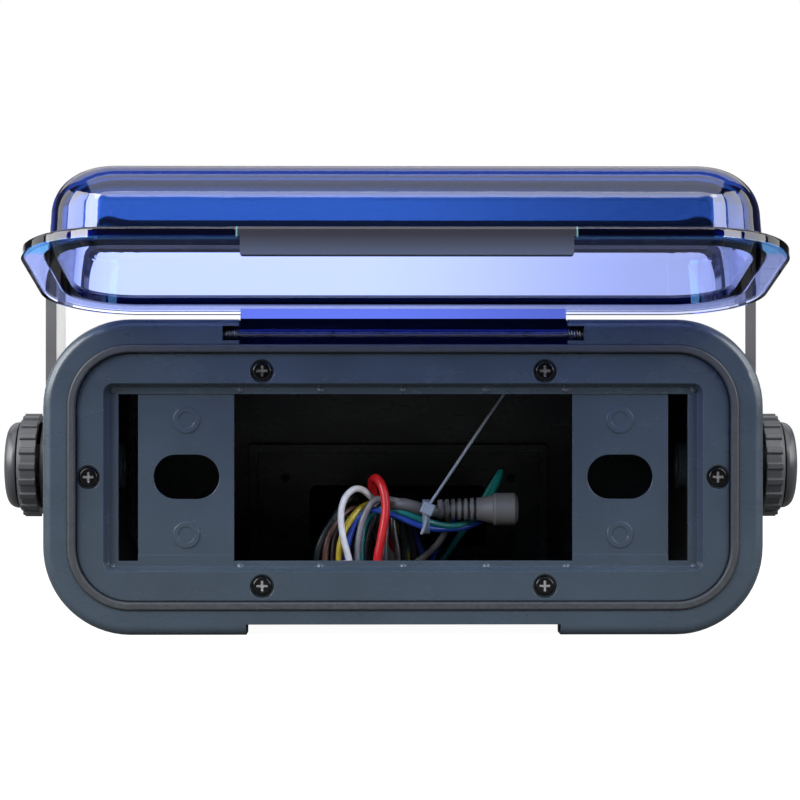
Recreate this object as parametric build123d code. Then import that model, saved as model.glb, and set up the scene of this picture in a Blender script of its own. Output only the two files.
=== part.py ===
from build123d import *
import math
import os

# Gimbal-mounted weatherproof housing for a dash-size radio: a deep plastic tub with a screwed
# front frame, a sprung see-through cover on a top hinge, a strap bracket with two clamp knobs,
# and a tied wire harness inside.
# Millimetres. X is to the right, Y to the back, Z up. The housing stands on its skids at Z = 0.
# Every function below measures Y from the front rim; save_parts() moves the whole object so
# that the middle of its depth, with the cover open, is at Y = 0.

# Housing
BODY_WIDTH = 229.4
BODY_HEIGHT = 100.5
BODY_CORNER = 28.0
COLLAR_DEPTH = 14.0
BODY_DEPTH = 190.0
TUB_STEP = 3.5           # the tub is this much smaller than the collar all round
WALL = 3.0
DRAFT = 1.0              # degrees
MIDDLE_Z = BODY_HEIGHT / 2
SKID_INNER = 58.0
SKID_OUTER = 78.0
SKID_BACK = 165.0

# Front frame and its openings
SEAL_OUTER_INSET = 8.0
SEAL_INNER_INSET = 10.7
SEAL_STAND = 0.9         # how far the seal stands out of the rim
LEDGE_INSET = 13.0
LEDGE_Y = 4.0
LEDGE_BACK_Y = 13.0
FRAME_FACE_Y = 1.0
RECESS_WIDTH = 190.7
RECESS_HEIGHT = 59.7
RECESS_FLOOR_Y = 4.5
RECESS_TAPER = 20.0      # degrees
FRAME_BACK_Y = 7.0
APERTURE_HALF = 91.0     # half of the 182 mm radio aperture
APERTURE_LOW = 23.4
APERTURE_HIGH = 76.7
WINDOW_HALF = 54.1
SLOT_INNER = 84.7
SHAFT_HOLE_X = 69.3
SHAFT_HOLE_LENGTH = 21.0
SHAFT_HOLE_HEIGHT = 14.2
SCREW_SPOTS = [
    (-45, 84),
    (45, 84),
    (-45, 15.6),
    (45, 15.6),
    (-100.2, MIDDLE_Z),
    (100.2, MIDDLE_Z),
]
SCREW_SHANK = 1.6
SCREW_HEAD = 3.1
COUNTERBORE = 3.8
COUNTERBORE_DEPTH = 1.8

# Cover, its hinge and its latch
COVER_WIDTH = 225.0
COVER_HEIGHT = 98.0
COVER_CORNER = 29.0
COVER_LOW = 1.2
COVER_BACK_Y = -1.0      # back face of the flange when the cover is shut
FLANGE = 2.5
DOME_WIDTH = 210.2
DOME_HEIGHT = 80.0
DOME_CORNER = 21.0
DOME_DEPTH = 26.4
DOME_DRAFT = 3.0         # degrees
DOME_ROUNDING = 14.0
DOME_ROOT = 1.2          # fillet between the dome and the flange
COVER_WALL = 3.0
OPEN_ANGLE = 101.0
HINGE_Y = 6.5
HINGE_Z = 96.0
PIN_RADIUS = 1.2
PIN_CLEARANCE = 0.05
PIN_HALF_LENGTH = 62.0
KNUCKLE_HALF = 52.0
KNUCKLE_RADIUS = 3.3
HINGE_NOTCH_HALF = 52.3
HINGE_NOTCH_FLOOR = 92.5
HINGE_NOTCH_BACK = 10.9
SPRING_POCKET_END = 57.5
LATCH_HALF = 47.0
LATCH_NOTCH_HALF = 50.0
LATCH_NOTCH_HEIGHT = 3.5
LATCH_REACH = 5.0
LATCH_ROOT = 1.0         # depth of the lip's root in the flange

# Bracket, pivots and knobs
PIVOT_Y = 80.0
PIVOT_Z = 52.0
BRACKET_GAUGE = 3.7
BRACKET_WIDTH = 25.0
BRACKET_OUTER = 122.9
BRACKET_TOP = 132.0
BRACKET_BEND = 12.0
BRACKET_HOLE = 2.75
BRACKET_HOLE_SPOTS = [40.0, 80.0]
STUD_RADIUS = 3.0
STUD_TIP = 98.0
BOSS_RADIUS = 15.0
BOSS_FACE = 117.6
INNER_BOSS_RADIUS = 8.0
INNER_BOSS_FACE = 97.0
INSERT_RADIUS = 4.5
INSERT_INNER = 105.6
WASHER_RADIUS = 15.0
WASHER_HOLE = 3.3
OUTER_WASHER = 2.0
KNOB_BACK = 126.0
KNOB_RADIUS = 17.2
KNOB_RIB_PROUD = 0.8
KNOB_RIB_WIDTH = 2.5
KNOB_RIBS = 20
KNOB_RIM = 132.6
KNOB_END = 137.4
CAP_RADIUS = 15.0
CAP_GROOVE = 0.7         # gap between the grip and the cap
CAP_ROUNDING = 3.6
SPIGOT_RADIUS = 10.0

# Rear wiring plate and panel connector
PLATE_HALF = 52.0
PLATE_LOW = 13.0
PLATE_HIGH = 53.0
PLATE_GAUGE = 3.0
GASKET_GAUGE = 1.0
PLATE_SCREW_X = 44.6
PLATE_SCREW_Z = [21.0, 44.0]
REAR_OPENING_HALF = 35.0
REAR_OPENING_LOW = 17.0
REAR_OPENING_HIGH = 41.0
CONNECTOR_Z = 29.0
CONNECTOR_RADIUS = 7.5
CONNECTOR_INNER_END = 172.0

# Harness
LEAD_RADIUS = 4.5
HANK_FRONT = 34.0
HANK_BACK = 60.0
HANK_LOW = 7.7
HANK_STEP_X = 12.0
HANK_STEP_Z = 32.4
PLUG_Y = 46.0
PLUG_RADIUS = 5.5
BOOT_LENGTH = 18.7
BOOT_RIBS = 6
BOOT_RIB_PITCH = 2.1
PLUG_LENGTH = 8.3

# Middle of the whole depth, cover open, measured from the front rim
DEPTH_MIDDLE = 59.6


def slab(width, height, corner, start, end, x=0.0, z=MIDDLE_Z, taper=0.0):
    """A plate with rounded corners whose faces look along Y, from start to end."""
    way = 1 if end > start else -1
    plane = Plane(origin=(0, start, 0), x_dir=(1, 0, 0), z_dir=(0, way, 0))
    outline = RectangleRounded(width, height, corner) if corner else Rectangle(width, height)
    return extrude(plane * Pos(x, -way * z) * outline, amount=abs(end - start), taper=taper)


def block(x, y, z):
    """A box given as three (low, high) pairs."""
    size = [high - low for low, high in (x, y, z)]
    middle = [(high + low) / 2 for low, high in (x, y, z)]
    return Pos(*middle) * Box(*size)


def rod(radius, start, end, x, z):
    """A round bar along Y."""
    plane = Plane(origin=(x, start, z), x_dir=(1, 0, 0), z_dir=(0, 1, 0))
    return extrude(plane * Circle(radius), amount=end - start)


def cross_rod(radius, start, end, y, z):
    """A round bar along X."""
    plane = Plane(origin=(start, y, z), x_dir=(0, 1, 0), z_dir=(1, 0, 0))
    return extrude(plane * Circle(radius), amount=end - start)


def turned(points, y, z):
    """A solid turned about a line along X; points are (x, radius) pairs on one side of it."""
    profile = make_face(Plane.XY * Polyline(*points, close=True))
    return Pos(0, y, z) * revolve(profile, Axis.X)


def both_sides(piece):
    return piece + mirror(piece, about=Plane.YZ)


def edges_at(piece, y, half_width, half_height):
    """Edges that lie at this Y and inside a rectangle about the front's centre."""
    found = []
    for edge in piece.edges():
        box = edge.bounding_box()
        flat = abs(box.min.Y - y) < 0.01 and abs(box.max.Y - y) < 0.01
        inside = max(abs(box.min.X), abs(box.max.X)) < half_width
        level = max(abs(box.min.Z - MIDDLE_Z), abs(box.max.Z - MIDDLE_Z)) < half_height
        if flat and inside and level:
            found.append(edge)
    return found


# ---- housing ----

def outer_body():
    collar = slab(BODY_WIDTH, BODY_HEIGHT, BODY_CORNER, 0, COLLAR_DEPTH)
    collar = fillet(collar.edges().group_by(Axis.Y)[0], 3.0)
    collar = fillet(collar.edges().group_by(Axis.Y)[-1], 1.0)
    width = BODY_WIDTH - 2 * TUB_STEP
    height = BODY_HEIGHT - 2 * TUB_STEP
    corner = BODY_CORNER - TUB_STEP
    tub = slab(width, height, corner, COLLAR_DEPTH - 2, BODY_DEPTH, taper=DRAFT)
    tub = fillet(tub.edges().group_by(Axis.Y)[-1], 5.0)
    skid = block((SKID_INNER, SKID_OUTER), (COLLAR_DEPTH - 2, SKID_BACK), (0, 9))
    skid = fillet(skid.edges().filter_by(Axis.Z).group_by(Axis.Y)[-1], 8.0)
    boss = cross_rod(BOSS_RADIUS, 100, BOSS_FACE, PIVOT_Y, PIVOT_Z)
    boss = chamfer(boss.edges().group_by(Axis.X)[-1], 1.0)
    return collar + tub + both_sides(skid + boss)


def cavity():
    width = BODY_WIDTH - 2 * TUB_STEP - 2 * WALL
    height = BODY_HEIGHT - 2 * TUB_STEP - 2 * WALL
    corner = BODY_CORNER - TUB_STEP - WALL
    hollow = slab(width, height, corner, LEDGE_BACK_Y, BODY_DEPTH - WALL, taper=DRAFT)
    mouth_width = BODY_WIDTH - 2 * LEDGE_INSET
    mouth_height = BODY_HEIGHT - 2 * LEDGE_INSET
    mouth = slab(mouth_width, mouth_height, BODY_CORNER - LEDGE_INSET, LEDGE_Y - 1, LEDGE_BACK_Y + 1)
    seat_width = BODY_WIDTH - 2 * SEAL_OUTER_INSET
    seat_height = BODY_HEIGHT - 2 * SEAL_OUTER_INSET
    seat = slab(seat_width, seat_height, BODY_CORNER - SEAL_OUTER_INSET, -1, LEDGE_Y)
    return hollow + mouth + seat


def screw_bosses():
    """Bosses behind the front frame, each tied to the nearest wall by a rib."""
    bosses = []
    length = 14.0
    for x, z in SCREW_SPOTS:
        boss = rod(4.5, LEDGE_Y, LEDGE_Y + length, x, z)
        if abs(x) > 60:
            reach = math.copysign(109, x)
            rib = block(sorted((x, reach)), (LEDGE_Y, LEDGE_Y + length), (z - 1.5, z + 1.5))
        else:
            reach = 94 if z > MIDDLE_Z else 6
            rib = block((x - 1.5, x + 1.5), (LEDGE_Y, LEDGE_Y + length), sorted((z, reach)))
        bosses.append(boss + rib)
    return bosses


def rear_frame():
    """The raised frame inside the back wall that the wiring plate's screws bite into."""
    back = BODY_DEPTH - WALL
    pad = block((-58.5, 58.5), (back - 4, back + 1), (8, 57.3))
    shelf = block((-58.5, 58.5), (back - 9, back), (54, 57.3))
    sides = both_sides(block((55.5, 58.5), (back - 9, back), (9, 57.3)))
    return pad + shelf + sides


def hinge_cuts():
    notch = block(
        (-HINGE_NOTCH_HALF, HINGE_NOTCH_HALF), (-5, HINGE_NOTCH_BACK), (HINGE_NOTCH_FLOOR, 105)
    )
    pocket = block((HINGE_NOTCH_HALF - 1, SPRING_POCKET_END), (-5, 9.3), (93.7, 98.3))
    pin_hole = cross_rod(PIN_RADIUS, -PIN_HALF_LENGTH, PIN_HALF_LENGTH, HINGE_Y, HINGE_Z)
    return notch + both_sides(pocket) + pin_hole


def latch_cuts():
    """The notch under the rim that the cover's lip enters, with a groove for its snap ribs."""
    half = LATCH_NOTCH_HALF
    notch = block((-half, half), (-5, COLLAR_DEPTH), (-5, LATCH_NOTCH_HEIGHT))
    groove_ends = (LATCH_REACH - 2.4, LATCH_REACH + 1)
    groove = block((-half, half), groove_ends, (-5, LATCH_NOTCH_HEIGHT + 1))
    return notch + groove


def housing_shell():
    shell = outer_body() - cavity()
    for boss in screw_bosses():
        shell += boss
    shell += rear_frame()
    shell += both_sides(cross_rod(INNER_BOSS_RADIUS, INNER_BOSS_FACE, 110, PIVOT_Y, PIVOT_Z))
    pan_room = (LEDGE_Y, FRAME_BACK_Y + 0.3)
    shell -= slab(RECESS_WIDTH + 5, RECESS_HEIGHT + 5, 5, *pan_room)
    shell -= hinge_cuts()
    shell -= latch_cuts()
    insert_hole = cross_rod(INSERT_RADIUS, INSERT_INNER, BOSS_FACE + 1, PIVOT_Y, PIVOT_Z)
    stud_hole = cross_rod(STUD_RADIUS + 0.5, INNER_BOSS_FACE - 1, BOSS_FACE, PIVOT_Y, PIVOT_Z)
    shell -= both_sides(insert_hole + stud_hole)
    for x, z in SCREW_SPOTS:
        shell -= rod(SCREW_SHANK, LEDGE_Y - 1, LEDGE_Y + 12, x, z)
    opening_middle = (REAR_OPENING_LOW + REAR_OPENING_HIGH) / 2
    opening_height = REAR_OPENING_HIGH - REAR_OPENING_LOW
    shell -= slab(
        2 * REAR_OPENING_HALF, opening_height, 3, BODY_DEPTH - 15, BODY_DEPTH + 1, z=opening_middle
    )
    for z in PLATE_SCREW_Z:
        hole = rod(SCREW_SHANK, BODY_DEPTH - 9, BODY_DEPTH + 1, PLATE_SCREW_X, z)
        shell -= both_sides(hole)
    return shell


# ---- front frame ----

def frame_plate():
    width = BODY_WIDTH - 2 * SEAL_INNER_INSET
    height = BODY_HEIGHT - 2 * SEAL_INNER_INSET
    plate = slab(width, height, BODY_CORNER - SEAL_INNER_INSET, FRAME_FACE_Y, LEDGE_Y)
    plate = fillet(plate.edges().group_by(Axis.Y)[0], 0.6)
    pan = slab(RECESS_WIDTH + 4, RECESS_HEIGHT + 4, 5, LEDGE_Y - 1, FRAME_BACK_Y)
    recess = slab(
        RECESS_WIDTH, RECESS_HEIGHT, 3, FRAME_FACE_Y, RECESS_FLOOR_Y, taper=RECESS_TAPER
    )
    lead_in = slab(RECESS_WIDTH, RECESS_HEIGHT, 3, 0, FRAME_FACE_Y)
    return plate + pan - recess - lead_in


def frame_openings():
    through = (-1, FRAME_BACK_Y + 1)
    aperture = (APERTURE_LOW, APERTURE_HIGH)
    window = block((-WINDOW_HALF, WINDOW_HALF), through, aperture)
    slot = block((SLOT_INNER, APERTURE_HALF), through, aperture)
    panel = block(
        (WINDOW_HALF - 1, SLOT_INNER + 1), (0, RECESS_FLOOR_Y + 0.5), (25.4, APERTURE_HIGH)
    )
    plane = Plane(origin=(SHAFT_HOLE_X, -1, MIDDLE_Z), x_dir=(1, 0, 0), z_dir=(0, 1, 0))
    shaft_hole = extrude(plane * SlotOverall(SHAFT_HOLE_LENGTH, SHAFT_HOLE_HEIGHT), amount=10)
    return window + both_sides(slot + panel + shaft_hole)


def fascia_plate():
    plate = frame_plate() - frame_openings()
    for z in (31.7, 68.4):
        mark = rod(4.2, RECESS_FLOOR_Y + 0.2, FRAME_BACK_Y - 1, SHAFT_HOLE_X, z)
        plate += both_sides(mark - rod(2.6, RECESS_FLOOR_Y, RECESS_FLOOR_Y + 0.4, SHAFT_HOLE_X, z))
    for z in (21.5, 78.0):
        for x in (0, 26.5, 52.0, 93.0):
            pip = Pos(x, RECESS_FLOOR_Y + 0.5, z) * Sphere(1.2)
            plate += both_sides(pip) if x else pip
    for x, z in SCREW_SPOTS:
        plate -= rod(SCREW_SHANK + 0.3, 0, FRAME_BACK_Y, x, z)
        plate -= rod(COUNTERBORE, 0, FRAME_FACE_Y + COUNTERBORE_DEPTH, x, z)
    return plate


def cover_seal():
    """The rubber ring round the front frame that the shut cover presses on."""
    gap = 0.05
    rings = []
    for inset in (SEAL_OUTER_INSET + gap, SEAL_INNER_INSET - gap):
        width = BODY_WIDTH - 2 * inset
        height = BODY_HEIGHT - 2 * inset
        rings.append(slab(width, height, BODY_CORNER - inset, -SEAL_STAND, LEDGE_Y))
    seal = rings[0] - rings[1]
    return fillet(seal.edges().group_by(Axis.Y)[0], 0.7)


def cross_screw(x, z, head_y, way, length):
    """A pan-head screw along Y with a cross recess; way is +1 when it points to the back."""
    head_end = head_y + way * 1.7
    head = rod(SCREW_HEAD, min(head_y, head_end), max(head_y, head_end), x, z)
    outer = head.edges().filter_by(GeomType.CIRCLE).sort_by(Axis.Y)[0 if way > 0 else -1]
    head = fillet(outer, 0.7)
    tip = head_end + way * length
    shank = rod(SCREW_SHANK, min(head_y + way, tip), max(head_y + way, tip), x, z)
    recess_end = head_y + way * 1.0
    depth = (min(head_y - way, recess_end), max(head_y - way, recess_end))
    wide = block((x - 1.7, x + 1.7), depth, (z - 0.4, z + 0.4))
    tall = block((x - 0.4, x + 0.4), depth, (z - 1.7, z + 1.7))
    return head + shank - wide - tall


def fascia_screws():
    head_y = FRAME_FACE_Y + COUNTERBORE_DEPTH - 1.7
    return [cross_screw(x, z, head_y, 1, 10.0) for x, z in SCREW_SPOTS]


# ---- rear wiring plate ----

def rear_plate():
    width = 2 * PLATE_HALF
    height = PLATE_HIGH - PLATE_LOW
    middle = (PLATE_HIGH + PLATE_LOW) / 2
    start = BODY_DEPTH + GASKET_GAUGE
    plate = slab(width, height, 5, start, start + PLATE_GAUGE, z=middle)
    plate = fillet(plate.edges().group_by(Axis.Y)[-1], 0.8)
    plate -= rod(CONNECTOR_RADIUS + 0.1, start - 1, start + 9, 0, CONNECTOR_Z)
    for z in PLATE_SCREW_Z:
        plate -= both_sides(rod(SCREW_SHANK + 0.3, start - 1, start + 9, PLATE_SCREW_X, z))
    return plate


def rear_plate_gasket():
    width = 2 * PLATE_HALF - 2
    height = PLATE_HIGH - PLATE_LOW - 2
    middle = (PLATE_HIGH + PLATE_LOW) / 2
    ends = (BODY_DEPTH, BODY_DEPTH + GASKET_GAUGE)
    gasket = slab(width, height, 4, *ends, z=middle)
    gasket -= slab(2 * REAR_OPENING_HALF, 24, 3, *ends, z=CONNECTOR_Z)
    for z in PLATE_SCREW_Z:
        gasket -= both_sides(rod(SCREW_SHANK + 0.3, *ends, PLATE_SCREW_X, z))
    return gasket


def rear_plate_screws():
    head_y = BODY_DEPTH + GASKET_GAUGE + PLATE_GAUGE + 1.7
    screws = []
    for z in PLATE_SCREW_Z:
        for x in (-PLATE_SCREW_X, PLATE_SCREW_X):
            screws.append(cross_screw(x, z, head_y, -1, 9.0))
    return screws


def rear_connector():
    """Round panel connector: flange and socket outside the plate, threaded barrel inside."""
    plate_face = BODY_DEPTH + GASKET_GAUGE + PLATE_GAUGE
    barrel = rod(CONNECTOR_RADIUS, CONNECTOR_INNER_END, plate_face + 1, 0, CONNECTOR_Z)
    flange = rod(11.5, plate_face, plate_face + 2.5, 0, CONNECTOR_Z)
    socket = rod(8.5, plate_face + 2, plate_face + 12, 0, CONNECTOR_Z)
    bore = rod(6.6, plate_face + 4, plate_face + 13, 0, CONNECTOR_Z)
    connector = barrel + flange + socket - bore
    for pin in range(7):
        angle = math.radians(pin * 360 / 7)
        x = 4.0 * math.sin(angle)
        z = CONNECTOR_Z + 4.0 * math.cos(angle)
        connector += rod(0.7, plate_face + 3, plate_face + 9, x, z)
    return connector


def rear_connector_nut():
    start = BODY_DEPTH - 3.0
    plane = Plane(origin=(0, start, CONNECTOR_Z), x_dir=(1, 0, 0), z_dir=(0, 1, 0))
    blank = extrude(plane * RegularPolygon(11.0, 6), amount=4.0)
    return blank - rod(CONNECTOR_RADIUS, start - 1, start + 5, 0, CONNECTOR_Z)


# ---- cover and hinge ----

def opened(piece):
    """Turn a piece of the shut cover to the open rest pose."""
    return piece.rotate(Axis((0, HINGE_Y, HINGE_Z), (1, 0, 0)), -OPEN_ANGLE)


def cover_dome(width, height, corner, depth, rounding, start):
    middle = COVER_LOW + COVER_HEIGHT / 2
    end = COVER_BACK_Y - depth
    dome = slab(width, height, corner, start, end, z=middle, taper=DOME_DRAFT)
    return fillet(dome.edges().group_by(Axis.Y)[0], rounding)


def cover_flange():
    middle = COVER_LOW + COVER_HEIGHT / 2
    front = COVER_BACK_Y - FLANGE
    flange = slab(COVER_WIDTH, COVER_HEIGHT, COVER_CORNER, front, COVER_BACK_Y, z=middle)
    flange = fillet(flange.edges().group_by(Axis.Y)[0], 1.0)
    bead_ends = (COVER_BACK_Y - 0.5, COVER_BACK_Y + 0.6)
    bead = slab(COVER_WIDTH, COVER_HEIGHT, COVER_CORNER, *bead_ends, z=middle)
    bead -= slab(COVER_WIDTH - 3, COVER_HEIGHT - 3, COVER_CORNER - 1.5, *bead_ends, z=middle)
    return flange + bead


def knuckle():
    half = KNUCKLE_HALF
    low = HINGE_Z - KNUCKLE_RADIUS
    high = HINGE_Z + KNUCKLE_RADIUS
    barrel = cross_rod(KNUCKLE_RADIUS, -half, half, HINGE_Y, HINGE_Z)
    arm = block((-half, half), (COVER_BACK_Y - 0.5, HINGE_Y), (low, high))
    return barrel + arm


def latch_lip():
    ends = (COVER_BACK_Y - LATCH_ROOT, LATCH_REACH)
    lip = block((-LATCH_HALF, LATCH_HALF), ends, (0.8, 3.0))
    lip = fillet(lip.edges().filter_by(Axis.Z), 0.8)
    rib = block((16.5, 35.5), (LATCH_REACH - 1.9, LATCH_REACH - 0.3), (2.5, 3.3))
    return lip + both_sides(rib)


def cover_shell():
    front = COVER_BACK_Y - FLANGE
    outer = cover_dome(
        DOME_WIDTH, DOME_HEIGHT, DOME_CORNER, DOME_DEPTH, DOME_ROUNDING, front + 1
    )
    inner = cover_dome(
        DOME_WIDTH - 2 * COVER_WALL,
        DOME_HEIGHT - 2 * COVER_WALL,
        DOME_CORNER - COVER_WALL,
        DOME_DEPTH - COVER_WALL,
        DOME_ROUNDING - COVER_WALL,
        COVER_BACK_Y + 1,
    )
    cover = cover_flange() + outer
    cover = fillet(edges_at(cover, front, DOME_WIDTH / 2 + 1, DOME_HEIGHT / 2 + 1), DOME_ROOT)
    cover -= inner
    cover += knuckle() + latch_lip()
    bore = PIN_RADIUS + PIN_CLEARANCE
    cover -= cross_rod(bore, -KNUCKLE_HALF - 1, KNUCKLE_HALF + 1, HINGE_Y, HINGE_Z)
    return opened(cover)


def hinge_pin():
    return cross_rod(PIN_RADIUS, -PIN_HALF_LENGTH, PIN_HALF_LENGTH, HINGE_Y, HINGE_Z)


def hinge_spring():
    """Right-hand torsion spring round the pin, with one leg against the pocket's back."""
    wire = 0.3
    coil = 1.9
    start = HINGE_NOTCH_HALF + 0.6
    path = Helix(pitch=0.85, height=4.0, radius=coil, center=(0, 0, 0), direction=(1, 0, 0))
    profile = Plane(origin=path @ 0, z_dir=path % 0) * Circle(wire)
    spring = sweep(profile, path=path, is_frenet=True)
    return Pos(start, HINGE_Y, HINGE_Z) * spring


# ---- bracket, washers, inserts and knobs ----

def gimbal_bracket():
    """A flat strap bent to a U that straddles the housing and fixes to the boat above it."""
    low = PIVOT_Z - BRACKET_WIDTH / 2
    inner = BRACKET_OUTER - BRACKET_GAUGE
    start = PIVOT_Y - BRACKET_WIDTH / 2
    end = PIVOT_Y + BRACKET_WIDTH / 2
    strap = block((-BRACKET_OUTER, BRACKET_OUTER), (start, end), (low, BRACKET_TOP))
    corners = strap.edges().filter_by(Axis.Y).group_by(Axis.Z)[-1]
    strap = fillet(corners, BRACKET_BEND + BRACKET_GAUGE)
    gap = block((-inner, inner), (start - 1, end + 1), (low - 1, BRACKET_TOP - BRACKET_GAUGE))
    corners = gap.edges().filter_by(Axis.Y).group_by(Axis.Z)[-1]
    strap -= fillet(corners, BRACKET_BEND)
    strap = fillet(strap.edges().filter_by(Axis.X).group_by(Axis.Z)[0], 12.0)
    strap -= cross_rod(WASHER_HOLE, -130, 130, PIVOT_Y, PIVOT_Z)
    for x in BRACKET_HOLE_SPOTS:
        hole = Pos(x, PIVOT_Y, BRACKET_TOP) * Cylinder(BRACKET_HOLE, 20)
        strap -= both_sides(hole)
    return strap


def washer(inner_face, outer_face, radius):
    ring = cross_rod(radius, inner_face, outer_face, PIVOT_Y, PIVOT_Z)
    ring = fillet(ring.edges(), 0.4)
    return ring - cross_rod(WASHER_HOLE, inner_face - 1, outer_face + 1, PIVOT_Y, PIVOT_Z)


def pivot_insert():
    """Brass insert with a knurled band, moulded into the boss."""
    body = cross_rod(INSERT_RADIUS, INSERT_INNER, BOSS_FACE, PIVOT_Y, PIVOT_Z)
    return body - cross_rod(STUD_RADIUS + 0.05, 100, 120, PIVOT_Y, PIVOT_Z)


def knob_stud():
    """Steel clamp screw whose round head sits inside the knob's hub."""
    shank = cross_rod(STUD_RADIUS, STUD_TIP, 128.0, PIVOT_Y, PIVOT_Z)
    shank = chamfer(shank.edges().group_by(Axis.X)[0], 0.8)
    return shank + cross_rod(5.0, 127.2, 130.0, PIVOT_Y, PIVOT_Z)


def knob_grip():
    """Ribbed ring with a hollow back and a hub round the clamp screw."""
    profile = [
        (KNOB_BACK, 15.2),
        (KNOB_BACK, KNOB_RADIUS),
        (KNOB_RIM - 1.4, KNOB_RADIUS),
        (KNOB_RIM, KNOB_RADIUS - 1.2),
        (KNOB_RIM, SPIGOT_RADIUS + 0.05),
        (130.2, SPIGOT_RADIUS + 0.05),
        (130.2, 5.1),
        (127.1, 5.1),
        (127.1, STUD_RADIUS + 0.05),
        (126.3, STUD_RADIUS + 0.05),
        (126.3, 7.5),
        (129.6, 7.5),
        (129.6, 15.2),
    ]
    grip = turned(profile, PIVOT_Y, PIVOT_Z)
    inner = KNOB_RADIUS - 1
    outer = KNOB_RADIUS + KNOB_RIB_PROUD
    half = KNOB_RIB_WIDTH / 2
    rib = block((KNOB_BACK, KNOB_RIM - 1.0), (-half, half), (inner, outer))
    rib = fillet(rib.edges().group_by(Axis.Z)[-1].filter_by(Axis.X), 0.6)
    for number in range(KNOB_RIBS):
        placed = rib.rotate(Axis.X, number * 360 / KNOB_RIBS)
        grip += Pos(0, PIVOT_Y, PIVOT_Z) * placed
    return grip


def knob_cap():
    """Rounded cap whose spigot presses into the grip."""
    cap = cross_rod(CAP_RADIUS, KNOB_RIM + CAP_GROOVE, KNOB_END, PIVOT_Y, PIVOT_Z)
    cap = fillet(cap.edges().group_by(Axis.X)[-1], CAP_ROUNDING)
    return cap + cross_rod(SPIGOT_RADIUS, 130.2, KNOB_RIM + 1, PIVOT_Y, PIVOT_Z)


# ---- harness ----

LEAD_ROUTE = [
    (0, CONNECTOR_INNER_END, CONNECTOR_Z),
    (0, 146, 29),
    (4, 117, 20),
    (7, 88, 12.5),
    (7, HANK_BACK, 12.5),
]


def tube_along(route, radius):
    """A round tube along straight runs joined by the largest tangent arcs that fit."""
    points = [Vector(*point) for point in route]
    radii = []
    for before, corner, after in zip(points, points[1:], points[2:]):
        turn = math.radians((corner - before).get_angle(after - corner))
        shorter = min((corner - before).length, (after - corner).length)
        radii.append(0.45 * shorter / math.tan(turn / 2))
    path = FilletPolyline(*points, radius=radii)
    print("lead radii", [round(value, 1) for value in radii], "length", round(path.length, 1))
    profile = Plane(origin=points[0], z_dir=points[1] - points[0]) * Circle(radius)
    tube = sweep(profile, path=path)
    print("lead volume", round(tube.volume), "expected", round(math.pi * radius**2 * path.length))
    return tube


def harness_hank():
    """Outer shape of the folded and tied wires, with a step that the plug lies on."""
    outline = [
        (-31, HANK_LOW),
        (-30, 22),
        (-25, 34),
        (-17, 42),
        (-8, 46),
        (2, 43),
        (HANK_STEP_X, 40),
        (HANK_STEP_X, HANK_STEP_Z),
        (36, HANK_STEP_Z - 3),
        (40, 20),
        (40, HANK_LOW),
    ]
    plane = Plane(origin=(0, HANK_FRONT, 0), x_dir=(1, 0, 0), z_dir=(0, -1, 0))
    face = make_face(plane * Polyline(*outline, close=True))
    return extrude(face, amount=HANK_BACK - HANK_FRONT, dir=(0, 1, 0))


def plug_boot():
    """Ribbed strain relief between the lead and the plug."""
    start = HANK_STEP_X
    end = start + BOOT_LENGTH
    points = [(start + 4, 0), (start + 4, 2.2), (start, 2.2), (start, 3.2)]
    for rib in range(BOOT_RIBS):
        near = start + 1.6 + BOOT_RIB_PITCH * rib
        radius = 3.3 + 0.12 * rib
        points += [(near, radius), (near, 2.8), (near + 0.9, 2.8), (near + 0.9, radius)]
    points += [(end - 3.6, 4.1), (end, 4.9), (end, 0)]
    return turned(points, PLUG_Y, HANK_STEP_Z + PLUG_RADIUS + 0.1)


def plug_shell():
    start = HANK_STEP_X + BOOT_LENGTH
    end = start + PLUG_LENGTH
    points = [
        (start, 0),
        (start, PLUG_RADIUS - 0.5),
        (start + 0.6, PLUG_RADIUS),
        (end - 1.2, PLUG_RADIUS),
        (end, PLUG_RADIUS - 1.2),
        (end, 3.6),
        (end - 6, 3.6),
        (end - 6, 0),
    ]
    return turned(points, PLUG_Y, HANK_STEP_Z + PLUG_RADIUS + 0.1)


def cable_tie():
    """Tie round the harness: band, locking head and both tails."""
    x = 8.0
    z = 37.0
    y = HANK_FRONT + 6.5
    band = cross_rod(7.4, x - 1.3, x + 1.3, y, z) - cross_rod(6.4, x - 2, x + 2, y, z)
    head = block((x - 2.4, x + 2.4), (y - 10.2, y - 6.6), (z - 0.6, z + 4.0))
    tail = Pos(x, y - 8.4, z + 2) * Rot(0, 34, 0) * block((-1.2, 1.2), (-0.5, 0.5), (0, 46))
    stub = Pos(x, y - 8.4, z + 1) * Rot(0, 192, 0) * block((-1.2, 1.2), (-0.5, 0.5), (0, 9))
    return band + head + tail + stub


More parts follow.
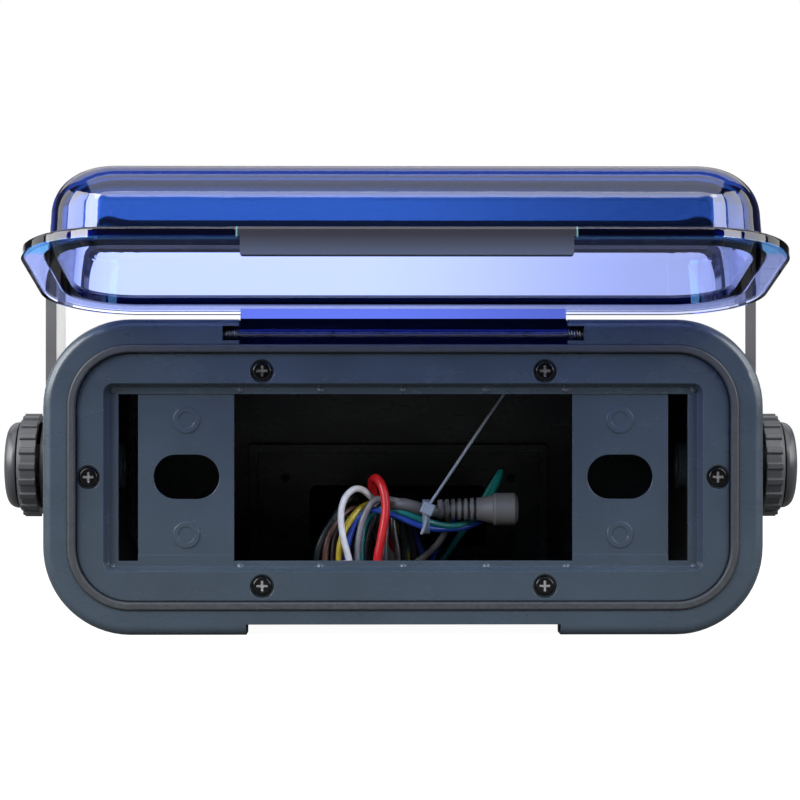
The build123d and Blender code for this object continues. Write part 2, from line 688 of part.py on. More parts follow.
def save_parts():
    insert = pivot_insert()
    inner_washer = washer(BOSS_FACE, BRACKET_OUTER - BRACKET_GAUGE, WASHER_RADIUS - 1)
    outer_face = BRACKET_OUTER + OUTER_WASHER
    outer_washer = washer(BRACKET_OUTER, outer_face, WASHER_RADIUS)
    pieces = {
        "housing_shell": housing_shell(),
        "fascia_plate": fascia_plate(),
        "fascia_screws": fascia_screws(),
        "cover_seal": cover_seal(),
        "rear_plate": rear_plate(),
        "rear_plate_gasket": rear_plate_gasket(),
        "rear_plate_screws": rear_plate_screws(),
        "rear_connector": rear_connector(),
        "rear_connector_nut": rear_connector_nut(),
        "cover_shell": cover_shell(),
        "hinge_pin": hinge_pin(),
        "gimbal_bracket": gimbal_bracket(),
        "harness_lead": tube_along(LEAD_ROUTE, LEAD_RADIUS),
        "harness_hank": harness_hank(),
        "cable_tie": cable_tie(),
        "plug_boot": plug_boot(),
        "plug_shell": plug_shell(),
    }
    paired = {
        "hinge_spring": hinge_spring(),
        "pivot_insert": insert,
        "friction_washer": inner_washer,
        "outer_washer": outer_washer,
        "knob_stud": knob_stud(),
        "knob_grip": knob_grip(),
        "knob_cap": knob_cap(),
    }
    for name, piece in paired.items():
        pieces[name + "_right"] = piece
        pieces[name + "_left"] = mirror(piece, about=Plane.YZ)
    os.makedirs("parts", exist_ok=True)
    for name, piece in pieces.items():
        solids = piece if isinstance(piece, list) else piece.solids()
        moved = [Pos(0, -DEPTH_MIDDLE, 0) * solid for solid in solids]
        shape = moved[0] if len(moved) == 1 else Compound(children=moved)
        export_step(shape, f"parts/{name}.step")


save_parts()
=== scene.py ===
import math
import bpy
from mathutils import Matrix, Vector


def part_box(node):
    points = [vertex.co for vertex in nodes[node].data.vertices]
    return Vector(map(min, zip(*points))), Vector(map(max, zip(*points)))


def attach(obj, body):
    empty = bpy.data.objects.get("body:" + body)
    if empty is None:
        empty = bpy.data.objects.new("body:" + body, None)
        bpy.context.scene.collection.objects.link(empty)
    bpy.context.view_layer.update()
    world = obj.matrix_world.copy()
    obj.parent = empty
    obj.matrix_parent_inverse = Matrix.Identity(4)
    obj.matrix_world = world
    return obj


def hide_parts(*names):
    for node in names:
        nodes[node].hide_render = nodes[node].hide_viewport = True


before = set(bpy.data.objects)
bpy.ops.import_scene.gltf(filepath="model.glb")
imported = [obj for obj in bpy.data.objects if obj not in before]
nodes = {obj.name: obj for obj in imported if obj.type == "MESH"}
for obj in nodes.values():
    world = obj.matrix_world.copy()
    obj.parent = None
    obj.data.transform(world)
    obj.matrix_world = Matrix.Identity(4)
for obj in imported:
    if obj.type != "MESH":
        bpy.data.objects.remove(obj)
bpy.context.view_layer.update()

# The weatherproof radio housing in its rest pose: cover open, bracket up, harness tied inside.
# Metres in the frame of the CAD model. Places inside the housing are written as (x, y, z) in
# millimetres with y measured from the plane of the front rim, and placed() turns them to metres.
MM = 0.001
FRONT_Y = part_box("housing_shell")[0].y


def placed(x, y, z):
    return Vector((x * MM, FRONT_Y + y * MM, z * MM))


# ---- camera, floor, light ----

CAMERA_X = -8.6 * MM
CAMERA_DISTANCE = 750 * MM      # from the front rim
CAMERA_HEIGHT = 74.8 * MM
CAMERA_YAW = math.radians(-0.57)
LENS = 106.3
SENSOR_WIDTH = 36.0
FLOOR_SIZE = 24.0
FLOOR_COLOR = (0.16, 0.16, 0.157)
FLOOR_SEEN = 0.97                   # light added to the floor for the camera alone
GLOW_CENTRE = (-0.12, 1.0, -0.02)   # direction of the bright patch of the room
GLOW_REACH = (0.75, 0.8, 0.22)
GLOW_EDGE = 0.55                    # how far into the patch its full light starts
GLOW_FADE = (-0.01, 0.13)           # the patch dims to the right between these directions
GLOW_RIGHT = 0.58
GLOW_LIGHT = 2.6
ROOM_LIGHT = 0.07
RIGHT_STRENGTH = 0.62               # of the panels on the right against those on the left


def make_camera():
    data = bpy.data.cameras.new("camera")
    data.sensor_width = SENSOR_WIDTH
    data.lens = LENS
    camera = bpy.data.objects.new("camera", data)
    bpy.context.scene.collection.objects.link(camera)
    camera.location = (CAMERA_X, FRONT_Y - CAMERA_DISTANCE, CAMERA_HEIGHT)
    camera.rotation_euler = (math.radians(90), 0, CAMERA_YAW)
    bpy.context.scene.camera = camera


def make_floor():
    half = FLOOR_SIZE / 2
    mesh = bpy.data.meshes.new("floor")
    corners = [(-half, -half, 0), (half, -half, 0), (half, half, 0), (-half, half, 0)]
    mesh.from_pydata(corners, [], [(0, 1, 2, 3)])
    floor = bpy.data.objects.new("floor", mesh)
    bpy.context.scene.collection.objects.link(floor)
    made, tree, shader = new_material("pale_floor")
    shader.inputs["Base Color"].default_value = (*FLOOR_COLOR, 1)
    shader.inputs["Roughness"].default_value = 0.9
    shader.inputs["Specular IOR Level"].default_value = 0.1
    seen = tree.nodes.new("ShaderNodeEmission")
    seen.inputs["Strength"].default_value = FLOOR_SEEN
    which = tree.nodes.new("ShaderNodeLightPath")
    both = tree.nodes.new("ShaderNodeAddShader")
    mix = tree.nodes.new("ShaderNodeMixShader")
    tree.links.new(which.outputs["Is Camera Ray"], mix.inputs["Fac"])
    tree.links.new(shader.outputs["BSDF"], both.inputs[0])
    tree.links.new(seen.outputs["Emission"], both.inputs[1])
    tree.links.new(shader.outputs["BSDF"], mix.inputs[1])
    tree.links.new(both.outputs["Shader"], mix.inputs[2])
    tree.links.new(mix.outputs["Shader"], tree.nodes["Material Output"].inputs["Surface"])
    mesh.materials.append(made)


def softbox(name, place, aim, width, height, power):
    data = bpy.data.lights.new(name, "AREA")
    data.shape = "RECTANGLE"
    data.size = width
    data.size_y = height
    data.energy = power
    lamp = bpy.data.objects.new(name, data)
    bpy.context.scene.collection.objects.link(lamp)
    lamp.visible_camera = False
    lamp.location = place
    lamp.rotation_euler = (Vector(aim) - Vector(place)).to_track_quat("-Z", "Y").to_euler()


def make_lights():
    """Panels at both sides of the view, the left ones stronger, and soft light from above."""
    middle = (0, 0, 0.07)
    for side, name, strength in ((-1, "left", 1.0), (1, "right", RIGHT_STRENGTH)):
        softbox("key_" + name, (side * 1.05, -1.07, 0.72), middle, 0.52, 1.0, 25 * strength)
        softbox("flank_" + name, (side * 1.42, -0.42, 0.7), middle, 0.8, 1.0, 22 * strength)
        softbox("rim_" + name, (side * 1.5, 0.35, 0.6), middle, 0.66, 0.9, 4)
    softbox("brow", (0, -1.15, 1.2), middle, 2.2, 0.25, 10)
    softbox("top", (0, -0.4, 1.55), middle, 2.4, 1.6, 26)
    softbox("back_top", (0, 1.1, 1.15), middle, 2.4, 1.1, 9)


def bright_patch(tree, direction):
    """Strength of the room's light by direction: a soft-edged bright patch in a dim room."""
    about = tree.nodes.new("ShaderNodeMapping")
    about.vector_type = "TEXTURE"
    about.inputs["Location"].default_value = GLOW_CENTRE
    about.inputs["Scale"].default_value = GLOW_REACH
    glow = tree.nodes.new("ShaderNodeTexGradient")
    glow.gradient_type = "SPHERICAL"
    ramp = tree.nodes.new("ShaderNodeMapRange")
    ramp.interpolation_type = "SMOOTHSTEP"
    ramp.inputs["From Max"].default_value = GLOW_EDGE
    ramp.inputs["To Min"].default_value = ROOM_LIGHT
    ramp.inputs["To Max"].default_value = GLOW_LIGHT
    tree.links.new(direction, about.inputs["Vector"])
    tree.links.new(about.outputs["Vector"], glow.inputs["Vector"])
    tree.links.new(glow.outputs["Fac"], ramp.inputs["Value"])
    return ramp.outputs["Result"]


def dimming_to_the_right(tree, direction):
    sides = tree.nodes.new("ShaderNodeSeparateXYZ")
    fade = tree.nodes.new("ShaderNodeMapRange")
    fade.interpolation_type = "SMOOTHSTEP"
    start, end = GLOW_FADE
    fade.inputs["From Min"].default_value = start
    fade.inputs["From Max"].default_value = end
    fade.inputs["To Min"].default_value = 1.0
    fade.inputs["To Max"].default_value = GLOW_RIGHT
    tree.links.new(direction, sides.inputs["Vector"])
    tree.links.new(sides.outputs["X"], fade.inputs["Value"])
    return fade.outputs["Result"]


def make_world():
    """White to the camera; for light and reflections a dim room with a bright patch behind."""
    world = bpy.data.worlds.new("studio")
    bpy.context.scene.world = world
    world.use_nodes = True
    tree = world.node_tree
    tree.nodes.clear()
    output = tree.nodes.new("ShaderNodeOutputWorld")
    seen = tree.nodes.new("ShaderNodeBackground")
    seen.inputs["Color"].default_value = (1, 1, 1, 1)
    lit = tree.nodes.new("ShaderNodeBackground")
    direction = tree.nodes.new("ShaderNodeTexCoord").outputs["Generated"]
    which = tree.nodes.new("ShaderNodeLightPath")
    mix = tree.nodes.new("ShaderNodeMixShader")
    tree.links.new(bright_patch(tree, direction), lit.inputs["Color"])
    tree.links.new(dimming_to_the_right(tree, direction), lit.inputs["Strength"])
    tree.links.new(which.outputs["Is Camera Ray"], mix.inputs["Fac"])
    tree.links.new(lit.outputs["Background"], mix.inputs[1])
    tree.links.new(seen.outputs["Background"], mix.inputs[2])
    tree.links.new(mix.outputs["Shader"], output.inputs["Surface"])


# ---- materials ----

def new_material(name):
    made = bpy.data.materials.new(name)
    made.use_nodes = True
    return made, made.node_tree, made.node_tree.nodes["Principled BSDF"]


def object_place(tree, stretch=(1, 1, 1)):
    """Object coordinates in metres, stretched along the axes."""
    place = tree.nodes.new("ShaderNodeTexCoord")
    mapping = tree.nodes.new("ShaderNodeMapping")
    mapping.inputs["Scale"].default_value = stretch
    tree.links.new(place.outputs["Object"], mapping.inputs["Vector"])
    return mapping.outputs["Vector"]


def noise_at(tree, where, scale, detail=3.0, roughness=0.5):
    noise = tree.nodes.new("ShaderNodeTexNoise")
    noise.inputs["Scale"].default_value = scale
    noise.inputs["Detail"].default_value = detail
    noise.inputs["Roughness"].default_value = roughness
    tree.links.new(where, noise.inputs["Vector"])
    return noise.outputs["Fac"]


def ranged(tree, value, low, high, start=0.3, end=0.7):
    node = tree.nodes.new("ShaderNodeMapRange")
    node.inputs["From Min"].default_value = start
    node.inputs["From Max"].default_value = end
    node.inputs["To Min"].default_value = low
    node.inputs["To Max"].default_value = high
    tree.links.new(value, node.inputs["Value"])
    return node.outputs["Result"]


def mixed(tree, factor, first, second):
    """Colour between two others; each may be a colour or the output of a node."""
    node = tree.nodes.new("ShaderNodeMix")
    node.data_type = "RGBA"
    for value, socket in ((first, node.inputs[6]), (second, node.inputs[7])):
        if isinstance(value, tuple):
            socket.default_value = (*value, 1)
        else:
            tree.links.new(value, socket)
    tree.links.new(factor, node.inputs[0])
    return node.outputs[2]


def bumped(tree, height, depth, below=None):
    """A bump of the height pattern, depth in metres, on top of another normal if one is given."""
    node = tree.nodes.new("ShaderNodeBump")
    node.inputs["Distance"].default_value = depth
    node.inputs["Strength"].default_value = 1.0
    tree.links.new(height, node.inputs["Height"])
    if below is not None:
        tree.links.new(below, node.inputs["Normal"])
    return node.outputs["Normal"]


def soft_edges(tree, radius):
    """Normals that round every edge a little, and a mask that is 1 on the edges."""
    bevel = tree.nodes.new("ShaderNodeBevel")
    bevel.samples = 4
    bevel.inputs["Radius"].default_value = radius
    flat = tree.nodes.new("ShaderNodeNewGeometry")
    dot = tree.nodes.new("ShaderNodeVectorMath")
    dot.operation = "DOT_PRODUCT"
    tree.links.new(bevel.outputs["Normal"], dot.inputs[0])
    tree.links.new(flat.outputs["Normal"], dot.inputs[1])
    return bevel.outputs["Normal"], ranged(tree, dot.outputs["Value"], 1.0, 0.0, 0.75, 0.98)


def inside_box(tree, low, high, soft):
    """1 inside a box of object coordinates, in metres, and 0 outside, over a soft border."""
    place = tree.nodes.new("ShaderNodeTexCoord")
    split = tree.nodes.new("ShaderNodeSeparateXYZ")
    tree.links.new(place.outputs["Object"], split.inputs["Vector"])
    factor = None
    for axis, start, end in zip("XYZ", low, high):
        above = ranged(tree, split.outputs[axis], 0.0, 1.0, start - soft, start + soft)
        below = ranged(tree, split.outputs[axis], 1.0, 0.0, end - soft, end + soft)
        for side in (above, below):
            factor = side if factor is None else product(tree, factor, side)
    return factor


def facing_inward(tree, centre):
    """1 on faces that look towards a point in object coordinates, and 0 on the others."""
    place = tree.nodes.new("ShaderNodeTexCoord")
    outward = tree.nodes.new("ShaderNodeVectorMath")
    outward.operation = "SUBTRACT"
    outward.inputs[1].default_value = centre
    tree.links.new(place.outputs["Object"], outward.inputs[0])
    dot = tree.nodes.new("ShaderNodeVectorMath")
    dot.operation = "DOT_PRODUCT"
    tree.links.new(outward.outputs["Vector"], dot.inputs[0])
    tree.links.new(place.outputs["Normal"], dot.inputs[1])
    return ranged(tree, dot.outputs["Value"], 1.0, 0.0, -0.5 * MM, 0.5 * MM)


def masked_roughness(tree, shader, mask, value):
    """Roughness of this value where the mask is 1, and what the shader had elsewhere."""
    before = shader.inputs["Roughness"].links[0].from_socket
    node = tree.nodes.new("ShaderNodeMix")
    node.inputs["B"].default_value = value
    tree.links.new(mask, node.inputs["Factor"])
    tree.links.new(before, node.inputs["A"])
    tree.links.new(node.outputs["Result"], shader.inputs["Roughness"])


def masked_color(tree, shader, mask, value):
    """This colour where the mask is 1, and what the shader had elsewhere."""
    before = shader.inputs["Base Color"].links[0].from_socket
    tree.links.new(mixed(tree, mask, before, value), shader.inputs["Base Color"])


def product(tree, first, second):
    node = tree.nodes.new("ShaderNodeMath")
    node.operation = "MULTIPLY"
    tree.links.new(first, node.inputs[0])
    tree.links.new(second, node.inputs[1])
    return node.outputs[0]


HOUSING_COLOR = (0.030, 0.044, 0.060)
FRAME_COLOR = (0.031, 0.045, 0.061)
HOUSING_MARGIN = (6, 16, 4.5)       # from the housing's box to where its inside may start
# painted shade: the tub's inside is coloured darker than the housing's plastic to stand in for the shade that
# falls there
INSIDE_PAINTED_SHADE = (0.005, 0.0055, 0.006)
INSIDE_ROUGHNESS = 0.75
STRAP_SCUFF = 16.0                  # height of the scuffed part at the bracket's top
STRAP_ARM = 12.0                    # width at each end that stays smooth
STRAP_ROUGHNESS = 0.5
SCREW_BLACK = (0.03, 0.03, 0.032)
WORN_DEPTH = 0.75                   # below a screw head's face, inside the recess


def moulded_plastic(name, color, roughness, grain, shine=0.5, edge_light=1.35):
    """Injection-moulded plastic: faint flow clouds, fine spark grain, rubbed lighter edges."""
    made, tree, shader = new_material(name)
    where = object_place(tree)
    clouds = noise_at(tree, where, 38, 4)
    darker = tuple(c * 0.86 for c in color)
    lighter = tuple(min(1, c * 1.1) for c in color)
    worn = tuple(min(1, c * edge_light + 0.004) for c in color)
    body = mixed(tree, ranged(tree, clouds, 0, 1), darker, lighter)
    normal, edges = soft_edges(tree, 0.0004)
    rubbed = noise_at(tree, where, 420, 3)
    tree.links.new(mixed(tree, product(tree, edges, rubbed), body, worn), shader.inputs["Base Color"])
    smears = noise_at(tree, object_place(tree, (1, 1, 2.2)), 55, 5, 0.6)
    low, high = roughness
    tree.links.new(ranged(tree, smears, low, high), shader.inputs["Roughness"])
    fine = noise_at(tree, where, 2600, 2)
    waves = noise_at(tree, where, 90, 1)
    normal = bumped(tree, waves, 0.00005, normal)
    tree.links.new(bumped(tree, fine, grain, normal), shader.inputs["Normal"])
    shader.inputs["Specular IOR Level"].default_value = shine
    return made


def housing_moulding():
    """The housing's plastic; inside the tub it is matt, and its colour is darkened there as painted shade."""
    made = moulded_plastic("housing_moulding", HOUSING_COLOR, (0.24, 0.34), 0.000012)
    tree = made.node_tree
    shader = tree.nodes["Principled BSDF"]
    low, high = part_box("housing_shell")
    wall = Vector(HOUSING_MARGIN) * MM
    cavity = inside_box(tree, low + wall, high - wall, 0.5 * MM)
    inside = product(tree, cavity, facing_inward(tree, (low + high) / 2))
    # painted shade darkens the inside of the tub; the matt roughness below is the plastic's own
    masked_color(tree, shader, inside, INSIDE_PAINTED_SHADE)
    masked_roughness(tree, shader, inside, INSIDE_ROUGHNESS)
    return made


def rubber(name, color):
    made, tree, shader = new_material(name)
    where = object_place(tree)
    dust = noise_at(tree, where, 900, 5, 0.7)
    paler = tuple(min(1, c * 1.5 + 0.01) for c in color)
    dusty = mixed(tree, ranged(tree, dust, 0, 1, 0.45, 0.8), color, paler)
    tree.links.new(dusty, shader.inputs["Base Color"])
    tree.links.new(ranged(tree, dust, 0.45, 0.7), shader.inputs["Roughness"])
    tree.links.new(bumped(tree, noise_at(tree, where, 2400, 3), 0.00003), shader.inputs["Normal"])
    return made


def coated_metal(name, color, roughness):
    """Powder-coated strip: slight orange peel and chipped, lighter edges."""
    made, tree, shader = new_material(name)
    where = object_place(tree)
    normal, edges = soft_edges(tree, 0.0005)
    clouds = ranged(tree, noise_at(tree, where, 60, 4), 0, 1)
    body = mixed(tree, clouds, tuple(c * 0.85 for c in color), tuple(c * 1.12 for c in color))
    chips = ranged(tree, noise_at(tree, where, 700, 5, 0.7), 0, 1, 0.55, 0.7)
    worn = tuple(min(1, c * 2 + 0.03) for c in color)
    tree.links.new(mixed(tree, product(tree, edges, chips), body, worn), shader.inputs["Base Color"])
    low, high = roughness
    tree.links.new(ranged(tree, clouds, low, high, 0, 1), shader.inputs["Roughness"])
    peel = noise_at(tree, where, 1100, 1)
    tree.links.new(bumped(tree, peel, 0.00001, normal), shader.inputs["Normal"])
    return made


def bracket_coating():
    """Smooth coating on the arms, scuffed dull on the strap that is screwed to a surface."""
    made = coated_metal("bracket_coating", (0.085, 0.085, 0.09), (0.1, 0.2))
    tree = made.node_tree
    low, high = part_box("gimbal_bracket")
    margin = Vector((STRAP_ARM, -1, -1)) * MM
    strap_low = Vector((low.x, low.y, high.z - STRAP_SCUFF * MM))
    strap = inside_box(tree, strap_low + margin, high - margin, 4 * MM)
    masked_roughness(tree, tree.nodes["Principled BSDF"], strap, STRAP_ROUGHNESS)
    return made


def plated_metal(name, color, roughness, stretch=(1, 1, 1)):
    """Bright or turned metal with fine tool marks along the stretched axis and dull patches."""
    made, tree, shader = new_material(name)
    marks = noise_at(tree, object_place(tree, stretch), 1500, 4, 0.6)
    patches = noise_at(tree, object_place(tree), 240, 4, 0.6)
    dull = tuple(c * 0.62 for c in color)
    tree.links.new(mixed(tree, ranged(tree, patches, 0, 1), dull, color), shader.inputs["Base Color"])
    low, high = roughness
    tree.links.new(ranged(tree, patches, low, high), shader.inputs["Roughness"])
    normal, _ = soft_edges(tree, 0.0002)
    tree.links.new(bumped(tree, marks, 0.00002, normal), shader.inputs["Normal"])
    shader.inputs["Metallic"].default_value = 1.0
    return made


def blackened_screws():
    """Black screws whose finish is worn to bright steel at the bottom of the cross recess."""
    made = plated_metal("black_screws", (0.9, 0.9, 0.95), (0.1, 0.22))
    tree = made.node_tree
    shader = tree.nodes["Principled BSDF"]
    low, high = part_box("fascia_screws")
    worn_low = Vector((low.x, low.y + WORN_DEPTH * MM, low.z))
    worn = inside_box(tree, worn_low, high, 0.05 * MM)
    steel = shader.inputs["Base Color"].links[0].from_socket
    tree.links.new(mixed(tree, worn, SCREW_BLACK, steel), shader.inputs["Base Color"])
    return made


COVER_DEPTH_COLOR = (0.01, 0.15, 0.67)
COVER_DENSITY = 434.0
COVER_IOR = 1.5
COVER_SHADOW = (0.95, 0.95, 0.95)   # what the cover lets through for the lights
DOME_END_TINT = (0.42, 1.0, 1.0)    # the dome's end wall is tinted a deeper blue
DOME_END_DEPTH = 24.0
LIP_HALF = 48.0
LIP_DEPTH = 3.4
LIP_SHADE_Z = (115.5, 121.5)        # the lip darkens from its foot to its top
LIP_FOOT = (0.045, 0.060, 0.105)
LIP_TOP = (0.014, 0.014, 0.024)
LIP_CLEARNESS = 0.22
LIP_ROUGHNESS = 0.3


def dome_tint(tree, low, high):
    """Clear, but for the deeper blue of the dome's end wall."""
    end_low = low - Vector((1, 1, 1)) * MM
    end_high = Vector((high.x, low.y + DOME_END_DEPTH * MM, high.z + 1 * MM))
    end_wall = inside_box(tree, end_low, end_high, 1 * MM)
    return mixed(tree, end_wall, (1.0, 1.0, 1.0), DOME_END_TINT)


def lip_shade(tree):
    split = tree.nodes.new("ShaderNodeSeparateXYZ")
    tree.links.new(object_place(tree), split.inputs["Vector"])
    foot, top = LIP_SHADE_Z
    rise = ranged(tree, split.outputs["Z"], 0.0, 1.0, foot * MM, top * MM)
    return mixed(tree, rise, LIP_FOOT, LIP_TOP)


def tint_by_depth(tree):
    absorption = tree.nodes.new("ShaderNodeVolumeAbsorption")
    absorption.inputs["Color"].default_value = (*COVER_DEPTH_COLOR, 1)
    absorption.inputs["Density"].default_value = COVER_DENSITY
    tree.links.new(absorption.outputs["Volume"], tree.nodes["Material Output"].inputs["Volume"])


def pass_shadow_rays(tree, shader):
    """Lets the lights shine through; the tint by depth still colours them."""
    through = tree.nodes.new("ShaderNodeBsdfTransparent")
    through.inputs["Color"].default_value = (*COVER_SHADOW, 1)
    path = tree.nodes.new("ShaderNodeLightPath")
    mix = tree.nodes.new("ShaderNodeMixShader")
    tree.links.new(path.outputs["Is Shadow Ray"], mix.inputs["Fac"])
    tree.links.new(shader.outputs["BSDF"], mix.inputs[1])
    tree.links.new(through.outputs["BSDF"], mix.inputs[2])
    tree.links.new(mix.outputs["Shader"], tree.nodes["Material Output"].inputs["Surface"])


def clear_blue_plastic():
    """Blue polycarbonate: tinted in its thickness, hairline scratches, and a frosted lip."""
    made, tree, shader = new_material("clear_blue_cover")
    shader.inputs["IOR"].default_value = COVER_IOR
    scratches = noise_at(tree, object_place(tree, (0.25, 1, 1)), 700, 5, 0.75)
    marks = ranged(tree, scratches, 0.015, 0.14, 0.66, 0.8)
    tree.links.new(marks, shader.inputs["Roughness"])
    low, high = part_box("cover_shell")
    lip_low = Vector((-LIP_HALF * MM, low.y - 1 * MM, low.z))
    lip_high = Vector((LIP_HALF * MM, low.y + LIP_DEPTH * MM, high.z))
    lip = inside_box(tree, lip_low, lip_high, 0.3 * MM)
    color = mixed(tree, lip, dome_tint(tree, low, high), lip_shade(tree))
    tree.links.new(color, shader.inputs["Base Color"])
    tree.links.new(ranged(tree, lip, 1.0, LIP_CLEARNESS, 0, 1), shader.inputs["Transmission Weight"])
    masked_roughness(tree, shader, lip, LIP_ROUGHNESS)
    ripples = noise_at(tree, object_place(tree), 30, 1)
    tree.links.new(bumped(tree, ripples, 0.0001), shader.inputs["Normal"])
    tint_by_depth(tree)
    pass_shadow_rays(tree, shader)
    return made


def wire_insulation(name, color, roughness=(0.25, 0.42)):
    """PVC insulation: slight mottling, rub marks and a fine extrusion ripple."""
    made, tree, shader = new_material(name)
    where = object_place(tree)
    mottle = noise_at(tree, where, 260, 4)
    darker = tuple(c * 0.75 for c in color)
    tree.links.new(mixed(tree, ranged(tree, mottle, 0, 1), darker, color), shader.inputs["Base Color"])
    low, high = roughness
    tree.links.new(ranged(tree, noise_at(tree, where, 500, 3), low, high), shader.inputs["Roughness"])
    tree.links.new(bumped(tree, noise_at(tree, where, 1500, 2), 0.00003), shader.inputs["Normal"])
    return made


def dress(node_names, made):
    for name in node_names:
        node = nodes[name]
        node.data.materials.clear()
        node.data.materials.append(made)


def sided(*bases):
    return [f"{base}_{side}" for base in bases for side in ("left", "right")]


def dress_cad_nodes():
    dress(["housing_shell"], housing_moulding())
    frame_made = moulded_plastic("frame_moulding", FRAME_COLOR, (0.2, 0.3), 0.000012)
    dress(["fascia_plate"], frame_made)
    back_made = moulded_plastic("rear_plate_moulding", (0.010, 0.011, 0.012), (0.6, 0.75), 0.00002)
    dress(["rear_plate"], back_made)
    dress(["fascia_screws"], blackened_screws())
    dull = coated_metal("dull_screws", (0.014, 0.014, 0.015), (0.45, 0.6))
    dress(["rear_plate_screws"], dull)
    seal = rubber("seal_rubber", (0.017, 0.020, 0.024))
    dress(["cover_seal", "rear_plate_gasket"], seal)
    dress(["cover_shell"], clear_blue_plastic())
    pin = plated_metal("spring_steel", (0.42, 0.42, 0.45), (0.25, 0.4))
    dress(["hinge_pin", *sided("hinge_spring")], pin)
    dress(["gimbal_bracket"], bracket_coating())
    brass = plated_metal("turned_brass", (0.75, 0.55, 0.26), (0.2, 0.35))
    dress(sided("pivot_insert"), brass)
    washer = rubber("washer_rubber", (0.016, 0.016, 0.018))
    dress(sided("outer_washer", "friction_washer"), washer)
    stud = plated_metal("plated_stud", (0.72, 0.72, 0.75), (0.12, 0.25))
    dress(sided("knob_stud"), stud)
    grip = moulded_plastic("knob_moulding", (0.040, 0.042, 0.048), (0.36, 0.5), 0.00003)
    dress(sided("knob_grip"), grip)
    cap = moulded_plastic("cap_moulding", (0.034, 0.036, 0.042), (0.26, 0.38), 0.00002)
    dress(sided("knob_cap"), cap)
    black = moulded_plastic("connector_moulding", (0.02, 0.02, 0.023), (0.4, 0.55), 0.00003)
    dress(["rear_connector", "rear_connector_nut"], black)


# ---- harness ----

# The route that every conductor follows from the panel connector to the front.
LEAD_ROUTE = [(0, 172, 29), (0, 146, 29), (4, 117, 20), (7, 88, 12.5)]
WIRE = 2.2                          # diameters
HEAVY_WIRE = 3.0
PLUG_CABLE = 4.2
INNER_COUNT = 8                     # wires in the ring round the plug cable
INNER_RING = 3.25                   # radius of that ring, and of the one round it
OUTER_RING = 5.0
OUTER_START = math.radians(25)
OUTER_STEP = math.radians(42)

